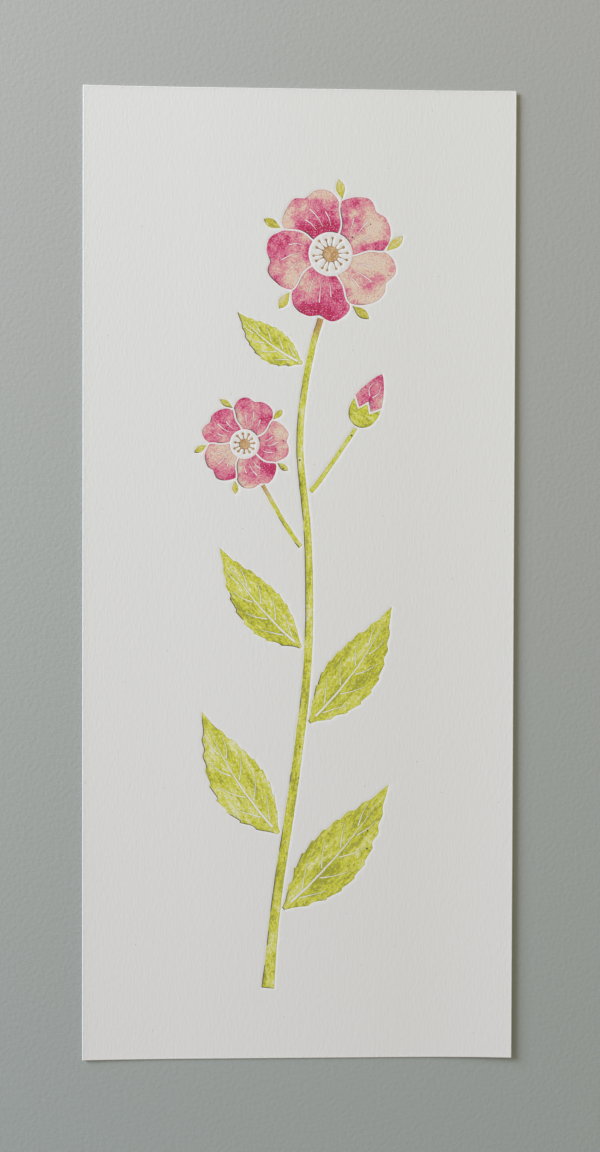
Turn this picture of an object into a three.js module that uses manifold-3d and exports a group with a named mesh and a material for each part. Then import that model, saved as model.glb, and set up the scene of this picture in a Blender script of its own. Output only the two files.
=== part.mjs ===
// An unframed art print, lying face up: a tall, narrow sheet of heavy white cotton paper with a spray of two
// open blossoms, a bud and leaves, printed in pink, ochre and yellow-green ink from cut plates in a press.
//
// Millimetres, +Z up. X runs across the sheet and Y up the picture. The origin is at the middle of the sheet,
// on the surface that it lies on. The middle of the sheet lies flat, and its two long edges curl up a little.
// Each plate pressed a shallow bed in the paper, and its ink lies as a thin film on the floor of that bed.

import * as THREE from "three";
import { mergeVertices } from "three/addons/utils/BufferGeometryUtils.js";
import Module from "manifold-3d";

// The sheet
const SHEET_WIDTH = 200;
const SHEET_HEIGHT = 450;
const SHEET_THICKNESS = 0.6;
const FLAT_HALF_WIDTH = 50;
const LEFT_LIFT = 0.7;
const RIGHT_LIFT = 1.15;
const RIGHT_LIFT_CHANGE = -0.35; // up the right edge, from its middle to its end; its lower end lifts more

// The beds of the plates, and the ink in them
const BED_DEPTH = 0.15;
const BED_MARGIN = 0.3; // the bare rim of a bed, outside its ink
const INK_FILM = 0.1;
const CHANNEL = 0.9; // the bare paper between the inks of two plates

// The lines scored in a plate, which hold no ink
const RIB_WIDTH = 1;
const VEIN_WIDTH = 0.55;
const FINE_END = 0.2;

// The spray
const STEM_FOOT_WIDTH = 4.6;
const STEM_TOP_WIDTH = 2.8;
const TWIG_WIDTH = 2.2;
const BIG_BLOSSOM = { centre: [14, 149], radius: 31, stalkAngle: -1.72, stamens: 14, seed: 11 };
const SMALL_BLOSSOM = { centre: [-25.5, 61], radius: 21, stalkAngle: -1.15, stamens: 11, seed: 29 };
const BUD = { foot: [26.4, 69.6], angle: 1.12, length: 27, halfWidth: 7 };

const { lerp } = THREE.MathUtils;
const v2 = (x, y) => new THREE.Vector2(x, y);
const direction = (angle) => v2(Math.cos(angle), Math.sin(angle));

// Paper and inks
const paper = new THREE.MeshStandardMaterial({ color: 0xd9dad5, roughness: 0.9, metalness: 0 });
const pinkInk = new THREE.MeshStandardMaterial({ color: 0xd66d8b, roughness: 0.6, metalness: 0 });
const greenInk = new THREE.MeshStandardMaterial({ color: 0xbcc23c, roughness: 0.6, metalness: 0 });
const ochreInk = new THREE.MeshStandardMaterial({ color: 0xcba46f, roughness: 0.6, metalness: 0 });

const artPrint = new THREE.Group();

// An upright prism over an outline, with holes where lines are scored in it. Every outline runs anticlockwise.
function prism(outline, lines, bottom, height) {
  const shape = new THREE.Shape(outline);
  shape.holes = lines.map((line) => new THREE.Path(line));
  const geometry = new THREE.ExtrudeGeometry(shape, { depth: height, bevelEnabled: false });
  return geometry.translate(0, 0, bottom);
}

// The outline, widened by the same margin all round, with its sharpest corners left blunt.
const SHARPEST_MITRE = 0.3;

function widened(outline, margin) {
  const outward = (from, to) => {
    const along = to.clone().sub(from).normalize();
    return v2(along.y, -along.x);
  };
  return outline.map((point, i) => {
    const before = outline.at(i - 1);
    const after = outline[(i + 1) % outline.length];
    const bisector = outward(before, point).add(outward(point, after)).divideScalar(2);
    const mitre = Math.max(bisector.lengthSq(), SHARPEST_MITRE);
    return point.clone().addScaledVector(bisector, margin / mitre);
  });
}

// A band along a curve, whose half width may change from its start to its end.
function band(curve, halfWidth, steps) {
  const right = [];
  const left = [];
  for (let i = 0; i <= steps; i++) {
    const share = i / steps;
    const along = curve.getTangentAt(share);
    const across = v2(along.y, -along.x).multiplyScalar(halfWidth(share));
    right.push(curve.getPointAt(share).add(across));
    left.unshift(curve.getPointAt(share).sub(across));
  }
  return [...right, ...left];
}

// A plate is printed: its ink stays as a film, and its bed is pressed in the paper.
const beds = [];

function printPlate(name, ink, outline, lines = [], bed = widened(outline, BED_MARGIN)) {
  const floor = SHEET_THICKNESS - BED_DEPTH;
  const film = new THREE.Mesh(prism(outline, lines, floor, INK_FILM), ink);
  film.name = `ink_${name}`;
  artPrint.add(film);
  beds.push(prism(bed, [], floor, SHEET_THICKNESS));
}

// A blossom's stalk ends a channel short of the notch in the rim of its petal.
const PETAL_NOTCH = 0.07; // its depth, as a share of the blossom's radius
const STALK_CLEAR = 1.4 * CHANNEL;

function stalkEnd({ centre, radius, stalkAngle }) {
  const reach = (1 - PETAL_NOTCH) * radius + STALK_CLEAR;
  return v2(...centre).addScaledVector(direction(stalkAngle), reach);
}

// The main stem rises from its cut foot at the lower left, in a slow double bend, to the big blossom.
const stemCurve = new THREE.SplineCurve([
  v2(-14, -192),
  v2(-10, -150),
  v2(-2, -95),
  v2(4, -40),
  v2(4, 15),
  v2(0, 62),
  v2(4, 98),
  stalkEnd(BIG_BLOSSOM),
]);
const STEM_STEPS = 26;
const FOOT_FLARE = 0.7;
const FOOT_FLARE_FADE = 30;

function stemHalfWidth(share) {
  const flare = FOOT_FLARE * Math.exp(-FOOT_FLARE_FADE * share);
  return lerp(STEM_FOOT_WIDTH, STEM_TOP_WIDTH, share) / 2 + flare;
}

printPlate("stem", greenInk, band(stemCurve, stemHalfWidth, STEM_STEPS));

// The place beside the stem where a twig or a leaf starts. Its slanting end stays a channel clear of the stem.
const SLANT = 0.7;

function besideStem(share, side, halfWidth) {
  const along = stemCurve.getTangentAt(share);
  const clear = side * (stemHalfWidth(share) + CHANNEL + SLANT * halfWidth);
  return stemCurve.getPointAt(share).add(v2(along.y, -along.x).multiplyScalar(clear));
}

// Twigs to the small blossom and to the bud
const TWIG_STEPS = 8;
const TWIG_TAPER = 0.8;

function twig(name, share, side, elbow, end) {
  const curve = new THREE.QuadraticBezierCurve(besideStem(share, side, TWIG_WIDTH / 2), elbow, end);
  const halfWidth = (way) => (TWIG_WIDTH / 2) * lerp(1, TWIG_TAPER, way);
  printPlate(name, greenInk, band(curve, halfWidth, TWIG_STEPS));
}

const budTwigEnd = v2(...BUD.foot).addScaledVector(direction(BUD.angle), -CHANNEL);
twig("twig_left", 0.66, -1, v2(-5, 20), stalkEnd(SMALL_BLOSSOM));
twig("twig_right", 0.74, 1, v2(9, 43), budTwigEnd);

// A leaf: a pointed blade with a toothed edge. Its rib and its side veins are scored lines.
// Places along it are shares of the way from its base to its tip.
const TEETH = 9;
const TEETH_FROM = 0.03;
const TEETH_TO = 0.95;
const TOOTH = 0.08; // how far a tooth stands out, as a share of the blade's half width there
const PETIOLE_HALF_WIDTH = 0.8;
const RIB_SHARES = [0.06, 0.3, 0.6, 0.86];
const VEIN_PAIRS = 4;
const VEINS_FROM = 0.14;
const VEINS_TO = 0.66;
const VEIN_OFFSET = 0.15; // how far the two veins of a pair are out of step, as a share of the way to the next pair
const VEIN_START = 1.2; // how far from the middle of the rib a side vein starts
const VEIN_MIDDLE = { ahead: 0.06, out: 0.45 };
const VEIN_END = { ahead: 0.15, out: 0.74 };

function leaf(name, share, side, tip, halfWidth, bow) {
  const base = besideStem(share, side, PETIOLE_HALF_WIDTH);
  const chord = tip.clone().sub(base);
  const elbow = base.clone().addScaledVector(chord, 0.5).addScaledVector(v2(-chord.y, chord.x), bow);
  const rib = new THREE.QuadraticBezierCurve(base, elbow, tip);
  const halfAt = (along) => halfWidth * Math.sin(Math.PI * along ** 0.8) ** 1.15;
  // A place on the blade, so far along the rib and so far out from it
  const at = (along, out) => {
    const tangent = rib.getTangent(along);
    return rib.getPoint(along).add(v2(-tangent.y, tangent.x).multiplyScalar(out));
  };
  const edge = (hand) => {
    const points = [at(0, hand * PETIOLE_HALF_WIDTH)];
    for (let i = 0; i < TEETH; i++) {
      const valley = lerp(TEETH_FROM, TEETH_TO, i / TEETH);
      const tooth = lerp(TEETH_FROM, TEETH_TO, (i + 0.9) / TEETH);
      points.push(at(valley, hand * halfAt(valley)));
      points.push(at(tooth, hand * halfAt(tooth) * (1 + TOOTH)));
    }
    return points;
  };
  const outline = [...edge(-1), tip, ...edge(1).reverse()];

  const ribLine = new THREE.SplineCurve(RIB_SHARES.map((along) => at(along, 0)));
  const lines = [band(ribLine, (way) => lerp(RIB_WIDTH, FINE_END, way) / 2, 5)];
  for (let pair = 0; pair < VEIN_PAIRS; pair++) {
    for (const hand of [-1, 1]) {
      const start = lerp(VEINS_FROM, VEINS_TO, (pair + VEIN_OFFSET * hand) / (VEIN_PAIRS - 1));
      const onBlade = ({ ahead, out }) => at(start + ahead, hand * out * halfAt(start + ahead));
      const vein = new THREE.QuadraticBezierCurve(
        at(start, hand * VEIN_START),
        onBlade(VEIN_MIDDLE),
        onBlade(VEIN_END),
      );
      lines.push(band(vein, (way) => lerp(VEIN_WIDTH, FINE_END, way) / 2, 2));
    }
  }
  printPlate(`leaf_${name}`, greenInk, outline, lines);
}

leaf("low_right", 0.12, 1, v2(42, -97), 12.5, -0.08);
leaf("low_left", 0.23, -1, v2(-45, -63), 12, 0.1);
leaf("middle_right", 0.4, 1, v2(43, -14), 11.5, -0.1);
leaf("middle_left", 0.51, -1, v2(-37, 13), 10, 0.1);
leaf("top_left", 0.93, -1, v2(-29, 122), 7.5, 0.12);

// A blossom, open to the front: five petals round an eye of stamens, and the tips of the sepals between them.
// The channels between the petals turn and wander on their way out.
// Reaches from its middle are shares of its radius.
const PETALS = 5;
const PETAL_ROOT = 0.33;
const PETAL_SHOULDER = 0.2;
const NOTCH_WIDTH = 0.17;
const RIPPLE = 0.012;
const SHORTEST_PETAL = 0.96;
const LONGEST_PETAL = 1.05;
const TWIST = 0.3;
const WANDER = 0.05;
const WANDER_RATE = 11;
const FAN_ACROSS = 0.45;
const FAN_REACHES = [0.42, 0.53, 0.64];
const MIDDLE_LINE_REACHES = [0.42, 0.53, 0.74];
const SEPAL_REACHES = [0.84, 1.12];
const SEPAL_HALF_WIDTH = 0.065;
const SEPAL_STEPS = 5;
const SIDE_STEPS = 7;
const RIM_STEPS = 16;
const ROOT_STEPS = 4;
const EYE_DISC = 0.12;
const SHORTEST_STAMEN = 0.8;
const STAMEN_JITTER = 0.35;
const ANTHER_RADIUS = 0.75;
const FILAMENT_HALF_WIDTH = 0.28;

// The same small unevenness on every run
function steadyRandom(seed) {
  let state = seed;
  return () => {
    state = (state * 16807) % 2147483647;
    return state / 2147483647;
  };
}

function blossom(name, { centre, radius, stalkAngle, stamens, seed }) {
  const random = steadyRandom(seed);
  const polar = (reach, angle) => v2(...centre).addScaledVector(direction(angle), reach);
  const petalAngle = (2 * Math.PI) / PETALS;
  const turn = stalkAngle - TWIST - petalAngle / 2;
  const phases = Array.from({ length: PETALS }, () => 2 * Math.PI * random());
  const seam = (i, reach) => {
    const out = reach / radius;
    return turn + petalAngle * i + TWIST * out + WANDER * Math.sin(WANDER_RATE * out + phases[i % PETALS]);
  };
  // A place on petal i: across it from -1 to 1, between the channels on its two sides
  const onPetal = (i, reach, across) => {
    const gap = CHANNEL / 2 / reach;
    return polar(reach, lerp(seam(i, reach) + gap, seam(i + 1, reach) - gap, (across + 1) / 2));
  };
  const rootReach = PETAL_ROOT * radius;

  for (let i = 0; i < PETALS; i++) {
    // The petal over the stalk keeps the plain radius
    const full = i === 0 ? radius : radius * lerp(SHORTEST_PETAL, LONGEST_PETAL, random());
    const ripples = lerp(6, 9, random());
    const rim = (across) => {
      const shoulder = PETAL_SHOULDER * Math.abs(across) ** 3;
      const notch = PETAL_NOTCH * Math.exp(-((across / NOTCH_WIDTH) ** 2));
      return full * (1 - shoulder - notch + RIPPLE * Math.sin(ripples * across));
    };
    const side = (across) =>
      Array.from({ length: SIDE_STEPS }, (_, k) =>
        onPetal(i, lerp(rootReach, rim(across), k / SIDE_STEPS), across),
      );
    const outline = [...side(-1)];
    for (let k = 0; k <= RIM_STEPS; k++) {
      const across = (2 * k) / RIM_STEPS - 1;
      outline.push(onPetal(i, rim(across), across));
    }
    outline.push(...side(1).reverse());
    for (let k = 1; k < ROOT_STEPS; k++) outline.push(onPetal(i, rootReach, 1 - (2 * k) / ROOT_STEPS));

    // Three fine lines, scored like a fan from the petal's root
    const lines = [-FAN_ACROSS, 0, FAN_ACROSS].map((across) => {
      const reaches = across === 0 ? MIDDLE_LINE_REACHES : FAN_REACHES;
      const line = new THREE.SplineCurve(reaches.map((reach) => onPetal(i, reach * radius, across)));
      return band(line, (way) => lerp(FINE_END, VEIN_WIDTH, way) / 2, 2);
    });
    printPlate(`${name}_petal_${i + 1}`, pinkInk, outline, lines);
  }

  for (let i = 0; i < PETALS; i++) {
    const ends = SEPAL_REACHES.map((reach) => polar(reach * radius, seam(i, reach * radius)));
    const halfWidth = (way) => FINE_END / 2 + SEPAL_HALF_WIDTH * radius * Math.sin(Math.PI * way ** 1.2);
    printPlate(`${name}_sepal_${i + 1}`, greenInk, band(new THREE.LineCurve(...ends), halfWidth, SEPAL_STEPS));
  }

  // The eye is one plate: a disc, with a filament and an anther for each stamen.
  const eye = [];
  const bedReach = rootReach - CHANNEL;
  const longest = bedReach - BED_MARGIN - ANTHER_RADIUS;
  for (let i = 0; i < stamens; i++) {
    const angle = (2 * Math.PI * (i + STAMEN_JITTER * random())) / stamens;
    const anther = polar(longest * lerp(SHORTEST_STAMEN, 1, random()), angle);
    const foot = EYE_DISC * radius;
    const half = FILAMENT_HALF_WIDTH / foot;
    const opening = Math.asin(FILAMENT_HALF_WIDTH / ANTHER_RADIUS);
    eye.push(polar(foot, angle - half));
    for (let k = -2; k <= 2; k++) {
      const round = angle + (k / 2) * (Math.PI - opening);
      eye.push(anther.clone().addScaledVector(direction(round), ANTHER_RADIUS));
    }
    eye.push(polar(foot, angle + half));
  }
  const eyeBed = new THREE.EllipseCurve(...centre, bedReach, bedReach).getPoints(24).slice(1);
  printPlate(`${name}_eye`, ochreInk, eye, [], eyeBed);
}

blossom("big", BIG_BLOSSOM);
blossom("small", SMALL_BLOSSOM);

// The bud: rolled petals that stand in a cup with three teeth.
// Places up it are shares of its length, and places across it are shares of its half width.
const CUP_TOOTH = 0.42;
const CUP_VALLEY = 0.27;
const CUP_VALLEY_ACROSS = 0.42;
const CUP_FOOT_HALF_WIDTH = 1.1;
const CUP_CLEAR = 1.6 * CHANNEL; // up the bud, so that the slanting channel is a channel wide
const CUP_STEPS = 4;
const BUD_STEPS = 8;
const BUD_FOLD = [
  [0.56, 0.1],
  [0.68, 0.36],
  [0.82, 0.22],
];
const BUD_FOLD_STEPS = 4;

function bud({ foot, angle, length, halfWidth }) {
  const place = (up, across) => v2(up, across).rotateAround(v2(0, 0), angle).add(v2(...foot));
  const swell = (share) => halfWidth * Math.sin(Math.PI * (0.04 + 0.96 * share) ** 0.68) ** 0.8;
  const toothLine = (raise) => [
    place(length * CUP_TOOTH + raise, -swell(CUP_TOOTH)),
    place(length * CUP_VALLEY + raise, -CUP_VALLEY_ACROSS * halfWidth),
    place(length * CUP_TOOTH + raise, 0),
    place(length * CUP_VALLEY + raise, CUP_VALLEY_ACROSS * halfWidth),
    place(length * CUP_TOOTH + raise, swell(CUP_TOOTH)),
  ];
  // The places up one flank, after its start and before its end
  const flank = (start, end, hand, steps) =>
    Array.from({ length: steps - 1 }, (_, k) => {
      const share = lerp(start, end, (k + 1) / steps);
      return place(length * share, hand * swell(share));
    });
  const cup = [
    place(0, -CUP_FOOT_HALF_WIDTH),
    ...flank(0, CUP_TOOTH, -1, CUP_STEPS),
    ...toothLine(0),
    ...flank(0, CUP_TOOTH, 1, CUP_STEPS).reverse(),
    place(0, CUP_FOOT_HALF_WIDTH),
  ];
  printPlate("bud_cup", greenInk, cup);

  const shareAbove = CUP_TOOTH + CUP_CLEAR / length;
  const petals = [
    ...toothLine(CUP_CLEAR).reverse(),
    ...flank(shareAbove, 1, -1, BUD_STEPS),
    place(length, 0),
    ...flank(shareAbove, 1, 1, BUD_STEPS).reverse(),
  ];
  const folds = [-1, 1].map((hand) => {
    const places = BUD_FOLD.map(([up, across]) => place(length * up, hand * across * halfWidth));
    return band(new THREE.SplineCurve(places), (way) => lerp(VEIN_WIDTH, FINE_END, way) / 2, BUD_FOLD_STEPS);
  });
  printPlate("bud_petals", pinkInk, petals, folds);
}

bud(BUD);

// A closed mesh as a solid that can be cut
const wasm = await Module();
wasm.setup();

function toSolid(geometry) {
  geometry.deleteAttribute("normal");
  geometry.deleteAttribute("uv");
  const merged = mergeVertices(geometry, 1e-4);
  const vertProperties = merged.attributes.position.array;
  const triVerts = new Uint32Array(merged.index.array);
  return new wasm.Manifold(new wasm.Mesh({ numProp: 3, vertProperties, triVerts }));
}

// How far the sheet lifts from the table at a place on it
function lift(x, y) {
  const out = Math.max(0, Math.abs(x) - FLAT_HALF_WIDTH) / (SHEET_WIDTH / 2 - FLAT_HALF_WIDTH);
  const most = x > 0 ? RIGHT_LIFT + (RIGHT_LIFT_CHANGE * y) / (SHEET_HEIGHT / 2) : LEFT_LIFT;
  return most * out ** 2;
}

// The sheet: one body of even thickness, with the bed of each plate cut in its face
function sheet() {
  const flat = new THREE.BoxGeometry(SHEET_WIDTH, SHEET_HEIGHT, SHEET_THICKNESS, 20, 5, 1);
  flat.translate(0, 0, SHEET_THICKNESS / 2);
  const at = flat.attributes.position;
  for (let i = 0; i < at.count; i++) at.setZ(i, at.getZ(i) + lift(at.getX(i), at.getY(i)));
  let pressed = toSolid(flat);
  for (const bed of beds) pressed = pressed.subtract(toSolid(bed));
  const mesh = pressed.getMesh();
  const geometry = new THREE.BufferGeometry();
  geometry.setAttribute("position", new THREE.BufferAttribute(mesh.vertProperties, 3));
  geometry.setIndex(new THREE.BufferAttribute(mesh.triVerts, 1));
  geometry.computeVertexNormals();
  const body = new THREE.Mesh(geometry, paper);
  body.name = "sheet";
  return body;
}

artPrint.add(sheet());

export default artPrint;
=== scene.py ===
import math

import bpy
import numpy as np
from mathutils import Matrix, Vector, kdtree, noise
from mathutils.geometry import delaunay_2d_cdt


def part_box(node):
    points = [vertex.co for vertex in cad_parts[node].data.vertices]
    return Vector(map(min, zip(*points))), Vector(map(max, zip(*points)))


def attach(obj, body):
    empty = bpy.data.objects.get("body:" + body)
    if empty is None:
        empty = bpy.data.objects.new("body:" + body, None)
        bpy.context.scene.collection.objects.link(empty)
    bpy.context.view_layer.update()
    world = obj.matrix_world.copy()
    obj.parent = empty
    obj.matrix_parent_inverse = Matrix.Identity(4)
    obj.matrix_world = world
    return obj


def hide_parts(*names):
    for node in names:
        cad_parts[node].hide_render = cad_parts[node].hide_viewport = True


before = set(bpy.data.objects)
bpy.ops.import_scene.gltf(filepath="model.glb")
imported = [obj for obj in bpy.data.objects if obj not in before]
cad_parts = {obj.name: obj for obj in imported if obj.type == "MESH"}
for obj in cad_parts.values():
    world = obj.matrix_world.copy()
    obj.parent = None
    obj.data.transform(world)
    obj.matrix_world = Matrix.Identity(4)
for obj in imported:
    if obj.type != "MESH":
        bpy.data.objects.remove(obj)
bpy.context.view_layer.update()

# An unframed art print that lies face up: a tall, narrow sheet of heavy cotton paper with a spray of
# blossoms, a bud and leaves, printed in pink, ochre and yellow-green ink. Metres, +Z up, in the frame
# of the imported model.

# The printing plates
# Each patch of colour was printed from a plate of its own, cut from lino with a knife and scored with a
# needle. The frame gives a plate's outline in straight pieces. The knife ran in slightly unsteady
# curves between corners.

MM = 0.001
SAME_PLACE = 0.001 * MM
UPWARD = 0.5  # the least upward part of a facet's direction that makes it part of the upper face
CUT_STEP = 0.4 * MM
CUT_CORNER = math.radians(38)  # a sharper turn than this is a corner, and stays one
KNIFE_DRIFTS = ((0.13 * MM, 5 * MM), (0.05 * MM, 1.3 * MM))  # how far it drifts, and over what length
CUT_PARTS = 4  # each step of a cut is measured from this many places


def upper_face_loops(node):
    """The closed outlines of a node's upper face, the outer one first, each with the face on its left."""
    places = [(round(v.co.x / SAME_PLACE), round(v.co.y / SAME_PLACE)) for v in node.data.vertices]
    sides = set()
    for face in node.data.polygons:
        if face.normal.z < UPWARD:
            continue
        corners = [places[index] for index in face.vertices]
        for side in zip(corners, corners[1:] + corners[:1]):
            if side[::-1] in sides:
                sides.remove(side[::-1])
            else:
                sides.add(side)
    after = dict(sides)
    loops = []
    while after:
        loop = [min(after)]  # the leftmost place
        while loop[-1] in after:
            loop.append(after.pop(loop[-1]))
        loops.append(np.array(loop[:-1]) * SAME_PLACE)
    return sorted(loops, key=lambda loop: -np.ptp(loop, axis=0).sum())


def cut_by_hand(loop, plate_number):
    """The loop in short, even steps: smooth between its corners, with the drift of the knife."""
    ahead = np.roll(loop, -1, axis=0) - loop
    length = np.hypot(*ahead.T)[:, None]
    way = ahead / length
    way_before = np.roll(way, 1, axis=0)
    through = way * np.roll(length, 1, axis=0) + way_before * length
    through /= np.hypot(*through.T)[:, None]
    corner = ((way * way_before).sum(axis=1) < math.cos(CUT_CORNER))[:, None]
    leaving = np.where(corner, way, through)
    arriving = np.roll(np.where(corner, way_before, through), -1, axis=0)
    curve = []
    for place, run, out, into in zip(loop, ahead, leaving, arriving):
        reach = np.hypot(*run)
        steps = max(1, round(reach / CUT_STEP))
        share = np.arange(steps)[:, None] / steps
        straight = (3 * share**2 - 2 * share**3) * run
        bend_out = (share**3 - 2 * share**2 + share) * reach * out
        bend_in = (share**3 - share**2) * reach * into
        curve.append(place + straight + bend_out + bend_in)
    curve = np.concatenate(curve)
    own = Vector((0, 0, plate_number))
    for drift, drift_length in KNIFE_DRIFTS:
        moves = [noise.noise_vector(Vector((x, y, 0)) / drift_length + own).xy for x, y in curve]
        curve = curve + drift * np.array(moves)
    return curve


def out_of_ink(loop):
    """The sideways direction at each point of a cut, away from the plate's face."""
    way = np.roll(loop, -1, axis=0) - np.roll(loop, 1, axis=0)
    out = np.stack([way[:, 1], -way[:, 0]], axis=1)
    return out / np.hypot(*out.T)[:, None]


noise.seed_set(7)  # makes the knife drift the same way in every run
plate_names = sorted(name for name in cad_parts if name.startswith("ink_"))
plates = []
for number, name in enumerate(plate_names):
    plates.append([cut_by_hand(loop, number) for loop in upper_face_loops(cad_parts[name])])
cuts = [loop for plate in plates for loop in plate]

cut_places = []
cut_ways_out = []
for plate in plates:
    for loop in plate:
        step = np.roll(loop, -1, axis=0) - loop
        way_out = out_of_ink(loop) if loop is plate[0] else np.zeros_like(loop)
        for part in range(CUT_PARTS):
            cut_places.append(loop + step * part / CUT_PARTS)
            cut_ways_out.append(way_out)
cut_places = np.concatenate(cut_places)
cut_ways_out = np.concatenate(cut_ways_out)
cut_tree = kdtree.KDTree(len(cut_places))
for number, (x, y) in enumerate(cut_places):
    cut_tree.insert((x, y, 0), number)
cut_tree.balance()


def nearest_cut(points):
    """The distance from each point to the nearest cut, and the way out of the ink there, at an outline."""
    found = [cut_tree.find((x, y, 0)) for x, y in points]
    distances = np.array([distance for _, _, distance in found])
    return distances, cut_ways_out[[number for _, number, _ in found]]


def on_plate(points, plate):
    """Whether each point is on the plate's face, within its outline and beside its scored lines."""
    odd = np.zeros(len(points), bool)
    low, high = plate[0].min(axis=0), plate[0].max(axis=0)
    near = np.flatnonzero(((points > low) & (points < high)).all(axis=1))
    x, y = points[near].T
    for loop in plate:
        for (x1, y1), (x2, y2) in zip(loop, np.roll(loop, -1, axis=0)):
            if y1 != y2:
                crossed = ((y1 > y) != (y2 > y)) & (x < x1 + (y - y1) * (x2 - x1) / (y2 - y1))
                odd[near[crossed]] ^= True
    return odd


# The sheet
# It is one piece of 300 g/m2 cotton rag paper, trimmed with a guillotine. It was damp when it was
# printed, so the plates pressed soft-edged beds in its face, which show faintly on its back, and its
# long edges curl up a little.

_, sheet_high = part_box("sheet")
HALF_WIDTH = sheet_high.x
HALF_HEIGHT = sheet_high.y
THICKNESS = 0.6 * MM
FLAT_HALF_WIDTH = 50 * MM
LEFT_LIFT = 0.7 * MM
RIGHT_LIFT = 1.15 * MM
RIGHT_LIFT_CHANGE = -0.35 * MM
COCKLE = 0.05 * MM  # the slow waves that damp paper dries in
COCKLE_LENGTH = 55 * MM

BED_DEPTH = 0.08 * MM
SHOULDER_IN = 0.1 * MM  # how far a bed's rounded shoulder reaches in under the ink
SHOULDER_OUT = 0.8 * MM
BACK_RELIEF = 0.06 * MM  # how far the beds stand out of the back
BACK_SHOULDER = 1.3 * MM

CORNER_RADIUS = 0.35 * MM
SHARPEST_CORNER = 0.03 * MM
BURR = 0.03 * MM  # the low lip that the guillotine leaves along the cut
BURR_WIDTH = 0.4 * MM
FACE_ROUNDING = (0.4 * MM, 0.3 * MM)  # how wide, and how deep
BACK_ROUNDING = (0.12 * MM, 0.12 * MM)
PROFILE_STEPS = 4
EDGE_STEP = 2.2 * MM

BESIDE_CUTS = (-0.45 * MM, 0.2 * MM, 0.45 * MM, 0.8 * MM)
BESIDE_CUTS_APART = 0.3 * MM
BESIDE_OUTLINES = (-0.6 * MM, 0.6 * MM)
BESIDE_OUTLINES_APART = 0.6 * MM
CLEAR_SHARE = 0.85  # the share of its offset that a point beside one cut keeps from every cut
FINE_PITCH = 1.25 * MM
FINE_FROM = 1.05 * MM
FINE_TO = 3.5 * MM
COARSE_PITCH = 2.7 * MM
UNEVENNESS = 0.15  # the share of the pitch by which a point leaves its place in the rows
random_places = np.random.default_rng(5)


def eased(share):
    """From 0 to 1 with a soft start and end."""
    share = np.clip(share, 0, 1)
    return share * share * (3 - 2 * share)


def lift(points):
    """How far the sheet stands off the table: its curled long edges, and its cockle."""
    x, y = points.T
    out = np.clip((np.abs(x) - FLAT_HALF_WIDTH) / (HALF_WIDTH - FLAT_HALF_WIDTH), 0, None)
    most = np.where(x > 0, RIGHT_LIFT + RIGHT_LIFT_CHANGE * y / HALF_HEIGHT, LEFT_LIFT)
    waves = np.array([noise.noise(Vector((px, py, 0)) / COCKLE_LENGTH) for px, py in points])
    return most * out**2 + COCKLE * np.clip(waves, 0, None)


def rim(inset):
    """The sheet's outline with rounded corners, moved in by the inset."""
    radius = max(CORNER_RADIUS - inset, SHARPEST_CORNER)
    half_width, half_height = HALF_WIDTH - inset - radius, HALF_HEIGHT - inset - radius
    points = []
    for turn, (side_x, side_y) in enumerate(((1, -1), (1, 1), (-1, 1), (-1, -1))):
        centre = np.array([side_x * half_width, side_y * half_height])
        for share in (0, 1 / 3, 2 / 3, 1):
            angle = (turn - 1 + share) * math.pi / 2
            points.append(centre + radius * np.array([math.cos(angle), math.sin(angle)]))
        start = points[-1]
        along = np.array([-math.sin(angle), math.cos(angle)])
        length, full = (half_height, HALF_HEIGHT) if turn % 2 == 0 else (half_width, HALF_WIDTH)
        steps = round(2 * full / EDGE_STEP)
        points += [start + along * 2 * length * step / steps for step in range(1, steps)]
    return np.array(points)


def scattered(pitch):
    """Points all over the sheet in staggered, slightly uneven rows."""
    columns = np.arange(-HALF_WIDTH + pitch, HALF_WIDTH - pitch / 2, pitch)
    rows = np.arange(-HALF_HEIGHT + pitch, HALF_HEIGHT - pitch / 2, pitch * math.sqrt(3) / 2)
    x, y = np.meshgrid(columns, rows)
    x[::2] += pitch / 2
    points = np.stack([x.ravel(), y.ravel()], axis=1)
    points += random_places.uniform(-UNEVENNESS, UNEVENNESS, points.shape) * pitch
    return points[(np.abs(points) < (HALF_WIDTH - pitch / 2, HALF_HEIGHT - pitch / 2)).all(axis=1)]


def beside(loops, offsets, gap):
    """Points along both sides of the loops, clear of every cut, and thinned to about one in each gap."""
    points = []
    for offset in offsets:
        ring = np.concatenate([loop + offset * out_of_ink(loop) for loop in loops])
        distances, _ = nearest_cut(ring)
        points.append(ring[distances > CLEAR_SHARE * abs(offset)])
    points = np.concatenate(points)
    _, first = np.unique(np.floor(points / gap).astype(int), axis=0, return_index=True)
    return points[np.sort(first)]


INSIDE_ONLY = 1  # the triangulation leaves out what lies outside the border
SAME_CORNER = 1e-5  # in millimetres, as its points are


def filled(border, loops, loose):
    """Triangles that fill the border, keep the sides of the loops and use the loose points."""
    places = []
    sides = []
    for loop in [border, *loops]:
        start = len(places)
        places.extend(loop)
        sides.extend((start + i, start + (i + 1) % len(loop)) for i in range(len(loop)))
    places.extend(loose)
    corners = [Vector(place) / MM for place in places]
    found = delaunay_2d_cdt(corners, sides, [], INSIDE_ONLY, SAME_CORNER)
    number = {source: made for made, sources in enumerate(found[3]) for source in sources}
    return np.array(found[0]) * MM, np.array(found[2]), [number[i] for i in range(len(border))]


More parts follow.
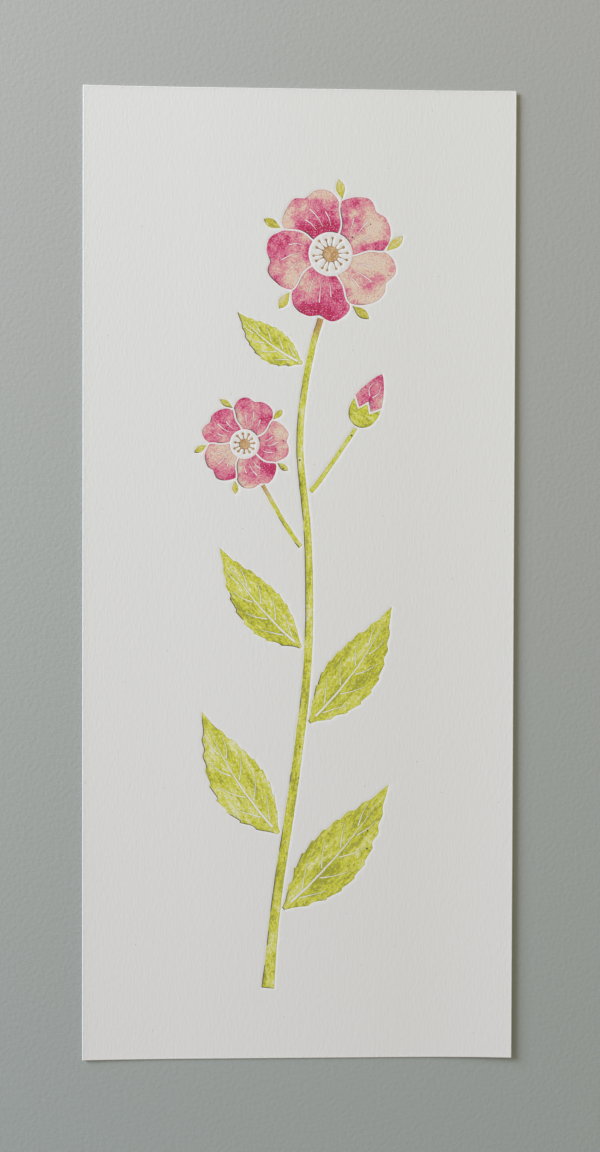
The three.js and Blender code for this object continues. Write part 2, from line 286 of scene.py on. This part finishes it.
fine = scattered(FINE_PITCH)
distances, _ = nearest_cut(fine)
fine = fine[(distances > FINE_FROM) & (distances < FINE_TO)]
coarse = scattered(COARSE_PITCH)
distances, _ = nearest_cut(coarse)
coarse = coarse[distances > FINE_TO + COARSE_PITCH / 3]
loose = np.concatenate([beside(cuts, BESIDE_CUTS, BESIDE_CUTS_APART), fine, coarse])
face_places, face_triangles, face_rim = filled(rim(FACE_ROUNDING[0] + BURR_WIDTH), cuts, loose)

plate_of_triangle = np.full(len(face_triangles), -1)
for number, plate in enumerate(plates):
    plate_of_triangle[on_plate(face_places[face_triangles].mean(axis=1), plate)] = number
inked = np.zeros(len(face_places), bool)
inked[face_triangles[plate_of_triangle >= 0]] = True
from_cut, way_out = nearest_cut(face_places)
clear_of_ink = np.where(inked, -from_cut, from_cut)
bed = eased((SHOULDER_OUT - clear_of_ink) / (SHOULDER_OUT + SHOULDER_IN))
face_heights = lift(face_places) + THICKNESS - BED_DEPTH * bed

outlines = [plate[0] for plate in plates]
loose = [beside(outlines, BESIDE_OUTLINES, BESIDE_OUTLINES_APART), scattered(COARSE_PITCH)]
loose = np.concatenate(loose)
back_places, back_triangles, back_rim = filled(rim(BACK_ROUNDING[0]), [], loose)
from_outline, _ = nearest_cut(back_places)
over_plate = np.any([on_plate(back_places, [outline]) for outline in outlines], axis=0)
clear_of_plate = np.where(over_plate, -from_outline, from_outline)
bulge = eased((BACK_SHOULDER - clear_of_plate) / (2 * BACK_SHOULDER))
back_heights = lift(back_places) + BACK_RELIEF * (1 - bulge)


def between(upper, lower):
    """The faces between two rims with the same number of points."""
    return [(upper[i - 1], lower[i - 1], lower[i], upper[i]) for i in range(len(upper))]


edge_profile = []
steps = np.arange(1, PROFILE_STEPS + 1) / PROFILE_STEPS
width, depth = FACE_ROUNDING
for share in steps:
    edge_profile.append((width + BURR_WIDTH * (1 - share), THICKNESS + BURR * eased(share)))
for angle in steps * math.pi / 2:
    edge_profile.append((width * (1 - math.sin(angle)), THICKNESS + BURR - depth * (1 - math.cos(angle))))
width, depth = BACK_ROUNDING
for angle in (1 - steps[::-1]) * math.pi / 2:
    edge_profile.append((width * (1 - math.cos(angle)), BACK_RELIEF + depth * (1 - math.sin(angle))))

points = [*np.column_stack([face_places, face_heights])]
faces = face_triangles.tolist()
last_rim = face_rim
for inset, height in edge_profile:
    loop = rim(inset)
    this_rim = range(len(points), len(points) + len(loop))
    points.extend(np.column_stack([loop, lift(loop) + height]))
    faces += between(last_rim, this_rim)
    last_rim = this_rim
back_start = len(points)
points.extend(np.column_stack([back_places, back_heights]))
faces += between(last_rim, [back_start + number for number in back_rim])
faces += (back_triangles[:, ::-1] + back_start).tolist()


scene = bpy.context.scene
SHARP = math.radians(50)  # a sharper edge than this is not shaded smooth


def new_piece(name, points, faces, material, slot, *nodes):
    """A piece of the print that stands for the frame's nodes, shaded smooth up to its sharp edges."""
    mesh = bpy.data.meshes.new(name)
    mesh.from_pydata(np.array(points).tolist(), [], faces)
    mesh.validate()
    mesh.shade_smooth()
    mesh.set_sharp_from_angle(angle=SHARP)
    mesh.materials.append(material)
    piece = bpy.data.objects.new(name, mesh)
    scene.collection.objects.link(piece)
    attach(piece, "root")
    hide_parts(*nodes)
    return piece


def note(piece, name, values):
    """Keeps a value for each point of the piece, for its material to read."""
    noted = piece.data.attributes.new(name, "FLOAT", "POINT")
    noted.data.foreach_set("value", np.array(values, np.float32))


def linear(code):
    """An sRGB colour, written as six hex digits, as linear colour."""
    parts = [int(code[i : i + 2], 16) / 255 for i in (0, 2, 4)]
    return (*[part / 12.92 if part <= 0.04045 else ((part + 0.055) / 1.055) ** 2.4 for part in parts], 1)


def add(tree, kind, inputs=None, stops=None, **settings):
    """Adds a node with its settings and colour stops. An input is a value, or the output that feeds it."""
    made = tree.nodes.new(kind)
    for setting, value in settings.items():
        setattr(made, setting, value)
    for socket, value in (inputs or {}).items():
        if isinstance(value, bpy.types.NodeSocket):
            tree.links.new(value, made.inputs[socket])
        else:
            made.inputs[socket].default_value = value
    if stops:
        ramp = made.color_ramp.elements
        while len(ramp) < len(stops):
            ramp.new(1)
        for element, (position, code) in zip(ramp, stops):
            element.position = position
            element.color = linear(code)
    return made


def new_material(name):
    material = bpy.data.materials.new(name)
    material.use_nodes = True
    material.node_tree.nodes.clear()
    return material


# Cotton rag paper, made on a mould machine whose felt left a fine upright grain. It looks soft white
# and matte, and holds a few grey specks of rag. Beside the plates' cuts it is painted whiter: a painted
# highlight, where the raised paper between and around the plates catches the light.
PAPER_WHITE = "F0EFEA"
# The whiter white below is a painted highlight on the paper beside the plates' cuts.
RIDGE_HIGHLIGHT_WHITE = "FAF9F6"
RAG_SPECK = "A39C8E"
FELT_GRAIN = (0.95 * MM, 3.2 * MM)  # across the sheet, and up it
FELT_DEPTH = 0.065 * MM
FIBRE_SIZE = 0.35 * MM  # real fibres are 0.02 mm thick, and are drawn as coarse as they need to show
FIBRE_DEPTH = 0.004 * MM
SPECK_SPACING = 45 * MM
SPECK_REACH = 0.3 * MM
RIDGE_HIGHLIGHT_REACH = 0.9 * MM


def cotton_rag_paper():
    material = new_material("cotton_rag_paper")
    tree = material.node_tree
    place = add(tree, "ShaderNodeTexCoord").outputs["Object"]
    grain_width, grain_length = FELT_GRAIN
    grain_scale = (1 / grain_width, 1 / grain_length, 1 / grain_width)
    grain_place = add(tree, "ShaderNodeMapping", {"Vector": place, "Scale": grain_scale}).outputs[0]
    felt = add(tree, "ShaderNodeTexNoise", {"Vector": grain_place, "Scale": 1, "Detail": 2}).outputs[0]
    relief = add(tree, "ShaderNodeBump", {"Height": felt, "Distance": FELT_DEPTH}).outputs[0]
    fine_place = {"Vector": place, "Scale": 1 / FIBRE_SIZE, "Detail": 2}
    fibres = add(tree, "ShaderNodeTexNoise", fine_place).outputs[0]
    fibrous = {"Height": fibres, "Distance": FIBRE_DEPTH, "Normal": relief}
    relief = add(tree, "ShaderNodeBump", fibrous).outputs[0]

    # Painted highlight: the paper is mixed towards a whiter white near the plates' cuts.
    ridge_highlight = add(tree, "ShaderNodeAttribute", attribute_name="ridge_highlight").outputs["Fac"]
    paper_and_highlight_whites = {"Fac": ridge_highlight, "Color1": linear(PAPER_WHITE), "Color2": linear(RIDGE_HIGHLIGHT_WHITE)}
    white = add(tree, "ShaderNodeMixRGB", paper_and_highlight_whites).outputs[0]
    spread = {"Vector": place, "Scale": 1 / SPECK_SPACING}
    specks = add(tree, "ShaderNodeTexVoronoi", spread, voronoi_dimensions="2D").outputs["Distance"]
    near_speck = {"Value": specks, "From Min": SPECK_REACH / SPECK_SPACING, "From Max": 0}
    speck = add(tree, "ShaderNodeMapRange", near_speck).outputs[0]
    specked = {"Fac": speck, "Color1": white, "Color2": linear(RAG_SPECK)}
    white = add(tree, "ShaderNodeMixRGB", specked).outputs[0]
    matte = {"Base Color": white, "Normal": relief, "Roughness": 0.88, "IOR": 1.5}
    shader = add(tree, "ShaderNodeBsdfPrincipled", {**matte, "Specular IOR Level": 0.25})
    add(tree, "ShaderNodeOutputMaterial", {"Surface": shader.outputs[0]})
    return material


paper_sheet = new_piece("paper_sheet", points, faces, cotton_rag_paper(), "paper", "sheet")
# The painted highlight's strength at each point: full at the cuts, fading out over its reach.
ridge_highlight = np.zeros(len(points))
ridge_highlight[: len(face_places)] = np.clip(1 - clear_of_ink / RIDGE_HIGHLIGHT_REACH, 0, 1)
note(paper_sheet, "ridge_highlight", ridge_highlight)

# The printed ink
# Stiff oil-based relief ink was rolled and dabbed on each plate, and the press left it in the bed as a
# thin film. A little more of it stands along the film's edge, and dark lines lie along the edges on the
# left and lower side of each patch: leftover ink, and painted shade of the bed's wall there.

INK_FILM = 0.03 * MM
INK_BEAD = 0.02 * MM
INK_BEAD_WIDTH = 0.25 * MM
INK_OVER_PAPER = 0.002 * MM
# Dark lines along the ink outlines that face this way: leftover ink, and painted shade of the bed's wall.
LEFTOVER_AND_SHADE_WAY = (-0.82, -0.57)  # across the sheet, and up it
LEFTOVER_AND_SHADE_EDGES = (0.3, 0.8)  # the cosine to that way at which the leftovers and painted shade start, and at which they are full
LEFTOVER_AND_SHADE_WIDTH = 0.5 * MM
LEFTOVER_AND_SHADE_LENGTH = 11 * MM
LEFTOVER_AND_SHADE_SHARE = 0.6  # more puts leftovers and painted shade along more of the edges
LEFTOVER_AND_SHADE_CONTRAST = 4
PLATE_APART = 37 * MM  # each plate takes its patterns from another depth of the noise, this far on


def printed(name, slot, ink):
    """The film on one plate's bed, made of the paper's own triangles so that it lies close on each rise."""
    number = plate_names.index(name)
    own = face_triangles[plate_of_triangle == number]
    used, own = np.unique(own, return_inverse=True)
    own = own.reshape(-1, 3)
    places = face_places[used]
    edge = from_cut[used]
    upper = face_heights[used] + INK_FILM + INK_BEAD * np.exp(-((edge / INK_BEAD_WIDTH) ** 2))
    lower = face_heights[used] + INK_OVER_PAPER
    points = np.concatenate([np.column_stack([places, height]) for height in (upper, lower)])
    sides = {side for a, b, c in own.tolist() for side in ((a, b), (b, c), (c, a))}
    faces = own.tolist() + (own[:, ::-1] + len(used)).tolist()
    faces += [(b, a, a + len(used), b + len(used)) for a, b in sorted(sides) if (b, a) not in sides]
    film = new_piece(name.replace("ink_", "printed_"), points, faces, ink, slot, name)

    note(film, "edge", np.tile(edge, 2))
    # Leftover ink and painted shade: dark along the outline where it faces left and down, in patches.
    starts, full = LEFTOVER_AND_SHADE_EDGES
    turned = eased((way_out[used] @ LEFTOVER_AND_SHADE_WAY - starts) / (full - starts))
    patches = [noise.noise(Vector((x, y, number * MM)) / LEFTOVER_AND_SHADE_LENGTH) for x, y in places]
    left = eased(LEFTOVER_AND_SHADE_SHARE + LEFTOVER_AND_SHADE_CONTRAST * np.array(patches))
    leftover_and_shade = turned * left * np.clip(1 - edge / LEFTOVER_AND_SHADE_WIDTH, 0, 1)
    note(film, "leftover_and_shade", np.tile(leftover_and_shade, 2))
    outline = plates[number][0]
    middle = outline.mean(axis=0)
    along = np.linalg.svd(outline - middle, full_matrices=False)[2][0]
    along *= 1 if along[1] > 0 else -1
    across = np.array([along[1], -along[0]])
    places = places - middle
    wiped = np.column_stack([places @ across, places @ along, np.full(len(used), number * PLATE_APART)])
    wiped = np.tile(wiped, (2, 1)).astype(np.float32)
    film.data.attributes.new("wiped", "FLOAT_VECTOR", "POINT").data.foreach_set("vector", wiped.ravel())
    return film


def places_of(piece):
    return np.array([vertex.co.xy for vertex in piece.data.vertices])


# The ink dries to a soft satin. It is uneven in strength, with fine grains of bare paper where it
# missed the hollows of the grain, darker pools along its edge, and a few dark flecks of dried skin from
# the tin.
BARE_PAPER = "F2E9E2"
SKIN_FLECK = "2E1D1A"
GRAIN_SIZE = 0.55 * MM  # real grains are half as wide, and are drawn as coarse as they need to show
POOL_WIDTH = 0.5 * MM
FLECK_SPACING = 8 * MM
FLECK_REACH = 0.6 * MM
FLECK_RARITY = 0.25


def relief_ink(name, stops, patterns, deep, leftover_and_shade, blush=None):
    """An ink whose colour follows the stops by its noted tone and by patterns: width, length, swing."""
    material = new_material(name)
    tree = material.node_tree
    place = add(tree, "ShaderNodeTexCoord").outputs["Object"]
    wiped = add(tree, "ShaderNodeAttribute", attribute_name="wiped").outputs["Vector"]
    tone = add(tree, "ShaderNodeAttribute", attribute_name="tone").outputs["Fac"]
    for width, length, swing in patterns:
        scale = (1 / width, 1 / length, 1 / width)
        scaled = add(tree, "ShaderNodeMapping", {"Vector": wiped, "Scale": scale}).outputs[0]
        pattern = add(tree, "ShaderNodeTexNoise", {"Vector": scaled, "Scale": 1, "Detail": 2}).outputs[0]
        swung = {"Value": pattern, "To Min": -swing / 2, "To Max": swing / 2}
        swung = add(tree, "ShaderNodeMapRange", swung, clamp=False).outputs[0]
        tone = add(tree, "ShaderNodeMath", {0: tone, 1: swung}, operation="ADD").outputs[0]
    colour = add(tree, "ShaderNodeValToRGB", {"Fac": tone}, stops=stops).outputs["Color"]

    fine_place = {"Vector": place, "Scale": 1 / GRAIN_SIZE, "Detail": 1}
    grain = add(tree, "ShaderNodeTexNoise", fine_place).outputs[0]
    leftovers_and_shade = add(tree, "ShaderNodeAttribute", attribute_name="leftover_and_shade").outputs["Fac"]
    edge = add(tree, "ShaderNodeAttribute", attribute_name="edge").outputs["Fac"]
    spread = {"Vector": place, "Scale": 1 / FLECK_SPACING}
    flecks = add(tree, "ShaderNodeTexVoronoi", spread, voronoi_dimensions="2D")
    rarity = add(tree, "ShaderNodeSeparateColor", {0: flecks.outputs["Color"]}).outputs[0]
    far = {0: rarity, 1: FLECK_RARITY, 2: flecks.outputs["Distance"]}
    from_fleck = add(tree, "ShaderNodeMath", far, operation="MULTIPLY_ADD").outputs[0]
    fleck_reach = FLECK_REACH / FLECK_SPACING
    # What a layer follows, the values at which it starts and is full, how much it then covers, its colour
    layers = [
        (grain, 0.57, 0.75, 0.75, BARE_PAPER),
        (grain, 0.44, 0.27, 0.6, deep),
        (edge, POOL_WIDTH, 0, 0.4, deep),
        # dark leftover ink with painted shade, along the edges that face left and down
        (leftovers_and_shade, 0, 0.5, 0.95, leftover_and_shade),
        (from_fleck, fleck_reach, fleck_reach / 2, 0.9, SKIN_FLECK),
    ]
    if blush:
        blushed = add(tree, "ShaderNodeAttribute", attribute_name="blush").outputs["Fac"]
        layers.insert(0, (blushed, 0, 1, 1, blush))
    for value, starts, full, most, layer_colour in layers:
        cover = {"Value": value, "From Min": starts, "From Max": full, "To Max": most}
        cover = add(tree, "ShaderNodeMapRange", cover).outputs[0]
        covered = {"Fac": cover, "Color1": colour, "Color2": linear(layer_colour)}
        colour = add(tree, "ShaderNodeMixRGB", covered).outputs[0]

    relief = add(tree, "ShaderNodeBump", {"Height": grain, "Distance": FIBRE_DEPTH}).outputs[0]
    satin = {"Base Color": colour, "Normal": relief, "Roughness": 0.62, "IOR": 1.48}
    shader = add(tree, "ShaderNodeBsdfPrincipled", {**satin, "Specular IOR Level": 0.3})
    add(tree, "ShaderNodeOutputMaterial", {"Surface": shader.outputs[0]})
    return material


# The petals
# They were printed in pink, which was dabbed on thin and sandy near the middle of a blossom and
# stronger towards the rims, with blots of magenta and crimson. Each of the ten open petals, and the
# bud's, has its own plate.

PINK_STOPS = (
    (0.0, "F2DCC4"),
    (0.17, "EFCBB4"),
    (0.3, "EFAEAC"),
    (0.48, "EC8FA0"),
    (0.66, "E66D95"),
    (0.76, "DF4D84"),
    (0.88, "D62F6F"),
    (1.0, "C72159"),
)
PINK_PATTERNS = (
    (17 * MM, 20 * MM, 3.2),
    (5 * MM, 6 * MM, 1.0),
    (1.6 * MM, 1.9 * MM, 0.9),
    (0.7 * MM, 0.7 * MM, 1.1),
)
BLOSSOM_RADII = {"big": 31 * MM, "small": 21 * MM}
BUD_REACH = 27 * MM
PETAL_TONES = (0.2, 0.56)  # in the middle of the blossom, and at the rim
PETAL_DAB = 0.26  # how much more or less ink one petal's plate was dabbed with than another's

pink_ink = relief_ink("pink_relief_ink", PINK_STOPS, PINK_PATTERNS, deep="B83A60", leftover_and_shade="472A30")
blossom_middles = {}
for size in BLOSSOM_RADII:
    low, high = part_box(f"ink_{size}_eye")
    blossom_middles[size] = np.array(((low + high) / 2).xy)
dabs = np.random.default_rng(17)


def petal(name, middle, radius):
    film = printed(name, "pink_ink", pink_ink)
    reach = np.hypot(*(places_of(film) - middle).T) / radius
    inner, outer = PETAL_TONES
    note(film, "tone", inner + (outer - inner) * reach + dabs.uniform(-PETAL_DAB, PETAL_DAB))


for size, radius in BLOSSOM_RADII.items():
    for name in plate_names:
        if name.startswith(f"ink_{size}_petal"):
            petal(name, blossom_middles[size], radius)
cup_low, cup_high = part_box("ink_bud_cup")
petal("ink_bud_petals", np.array(cup_low.xy), BUD_REACH)

# The stem, twigs, leaves, sepals and bud cup
# They were printed in yellow-green, wiped along the stem so that it is streaked. Some pink got on the
# plates that lie next to a blossom, and made the green there a reddish brown.

GREEN_STOPS = (
    (0.0, "B0B02E"),
    (0.22, "CFD034"),
    (0.5, "E2E23E"),
    (0.75, "E9E882"),
    (1.0, "F3F2C4"),
)
GREEN_PATTERNS = (
    (6 * MM, 24 * MM, 1.6),
    (1.5 * MM, 7 * MM, 1.4),
    (0.8 * MM, 1.5 * MM, 1.9),
)
MIDDLE_TONE = 0.5  # halfway along an ink's colour stops
GREEN_DAB = 0.12
BLUSH_LENGTH = 12 * MM
BLUSH = {"ink_stem": ("big", 0.8), "ink_twig_left": ("small", 0.75)}
SEPAL_BLUSH = 0.2

green_ink = relief_ink("green_relief_ink", GREEN_STOPS, GREEN_PATTERNS, "A8AA24", "45352A", blush="CE8460")
for name in plate_names:
    if "petal" in name or "eye" in name:
        continue
    film = printed(name, "green_ink", green_ink)
    places = places_of(film)
    note(film, "tone", np.full(len(places), MIDDLE_TONE + dabs.uniform(-GREEN_DAB, GREEN_DAB)))
    if name in BLUSH:
        size, strength = BLUSH[name]
        beyond = np.hypot(*(places - blossom_middles[size]).T) - BLOSSOM_RADII[size]
        note(film, "blush", strength * eased(1 - beyond / BLUSH_LENGTH))
    elif "sepal" in name:
        note(film, "blush", np.full(len(places), SEPAL_BLUSH))

# The eyes of the blossoms
# Each eye is a small disc with a ring of stamens around it, printed in ochre from one round plate whose
# edge left no mark. The ink was dabbed on unevenly, so it is mottled.

OCHRE_STOPS = (
    (0.0, "B47E45"),
    (0.35, "CC9C60"),
    (0.65, "DEBB86"),
    (1.0, "EDD9B5"),
)
OCHRE_PATTERNS = (
    (4 * MM, 4 * MM, 1.4),
    (1.2 * MM, 1.2 * MM, 1.1),
    (0.6 * MM, 0.6 * MM, 0.8),
)

ochre_ink = relief_ink("ochre_relief_ink", OCHRE_STOPS, OCHRE_PATTERNS, deep="A8783C", leftover_and_shade="8F5F30")
for size in BLOSSOM_RADII:
    film = printed(f"ink_{size}_eye", "ochre_ink", ochre_ink)
    note(film, "tone", np.full(len(film.data.vertices), MIDDLE_TONE))

# The floor
# A pale grey-green painted board with a fine, dull texture, as wide as the light reaches. Its colour is
# lighter above the picture, towards the window, and darker below it: painted sheen.

# The board's greys: below the picture, and above it with painted sheen.
FLOOR_GREYS_WITH_SHEEN = ("ABB2AC", "BABBB5")
SHEEN_REACH = 0.26  # how far from the middle of the picture the painted sheen changes
FLOOR_HALF = 1.4
FLOOR_DROP = 0.02 * MM  # keeps it just clear of the sheet's back
FLOOR_GRAIN = 2 * MM
FLOOR_RELIEF = 0.14 * MM

painted_board = new_material("painted_board")
tree = painted_board.node_tree
place = add(tree, "ShaderNodeTexCoord").outputs["Object"]
fine_place = {"Vector": place, "Scale": 1 / FLOOR_GRAIN, "Detail": 3}
grain = add(tree, "ShaderNodeTexNoise", fine_place).outputs[0]
relief = add(tree, "ShaderNodeBump", {"Height": grain, "Distance": FLOOR_RELIEF}).outputs[0]
# Painted sheen: the board's colour goes from darker below the picture to lighter above it.
up_picture = add(tree, "ShaderNodeSeparateXYZ", {0: place}).outputs["Y"]
share = {"Value": up_picture, "From Min": -SHEEN_REACH, "From Max": SHEEN_REACH}
share = add(tree, "ShaderNodeMapRange", share).outputs[0]
greys_with_sheen = {"Fac": share, "Color1": linear(FLOOR_GREYS_WITH_SHEEN[0]), "Color2": linear(FLOOR_GREYS_WITH_SHEEN[1])}
grey_with_sheen = add(tree, "ShaderNodeMixRGB", greys_with_sheen).outputs[0]
paint = {"Base Color": grey_with_sheen, "Roughness": 0.8, "Normal": relief}
shader = add(tree, "ShaderNodeBsdfPrincipled", paint).outputs[0]
add(tree, "ShaderNodeOutputMaterial", {"Surface": shader})
floor_mesh = bpy.data.meshes.new("studio_floor")
corners = [(x * FLOOR_HALF, y * FLOOR_HALF, -FLOOR_DROP) for x, y in ((-1, -1), (1, -1), (1, 1), (-1, 1))]
floor_mesh.from_pydata(corners, [], [(0, 1, 2, 3)])
floor_mesh.materials.append(painted_board)
floor = bpy.data.objects.new("studio_floor", floor_mesh)
scene.collection.objects.link(floor)

# The light
# A wide, low window stands to the left and a little above the picture. A warm room fills the shadows,
# and a weak gleam of blue sky reaches the foot of the picture.

LIGHTS = {
    "window": {"place": (-1.67, 0.98, 0.77), "size": (1.4, 0.9), "watts": 21.2, "colour": "E0E8FF"},
    "sky_gleam": {"place": (-0.1, -0.75, 0.4), "size": (0.6, 0.3), "watts": 0.11, "colour": "0000FF"},
}
LAMP_SPREAD = math.radians(100)
ROOM_COLOUR = "FFF6D2"
ROOM_STRENGTH = 0.37

for name, light in LIGHTS.items():
    lamp = bpy.data.lights.new(name, "AREA")
    lamp.shape = "RECTANGLE"
    lamp.size, lamp.size_y = light["size"]
    lamp.energy = light["watts"]
    lamp.color = linear(light["colour"])[:3]
    lamp.spread = LAMP_SPREAD
    stand = bpy.data.objects.new(name, lamp)
    stand.location = light["place"]
    stand.rotation_euler = (-stand.location).to_track_quat("-Z", "Y").to_euler()
    stand.visible_camera = False
    scene.collection.objects.link(stand)
room = bpy.data.worlds.new("warm_room")
room.use_nodes = True
background = room.node_tree.nodes["Background"]
background.inputs["Color"].default_value = linear(ROOM_COLOUR)
background.inputs["Strength"].default_value = ROOM_STRENGTH
scene.world = room
scene.view_settings.view_transform = "Standard"

# The camera
# It looks almost straight down on the sheet, from the place where the corners of the sheet fall as in
# the photo.

PHOTO_HEIGHT = 1152
FOCAL_LENGTH_PIXELS = 1000
SENSOR = 36
CAMERA_PLACE = (-10.6 * MM, 5.5 * MM, 464.4 * MM)
CAMERA_TURN = (-0.68, -1.35, 0.19)  # degrees

lens = bpy.data.cameras.new("camera")
lens.sensor_width = SENSOR
lens.lens = SENSOR * FOCAL_LENGTH_PIXELS / PHOTO_HEIGHT
lens.clip_start = 10 * MM
camera = bpy.data.objects.new("camera", lens)
camera.location = CAMERA_PLACE
camera.rotation_euler = [math.radians(angle) for angle in CAMERA_TURN]
scene.collection.objects.link(camera)
scene.camera = camera
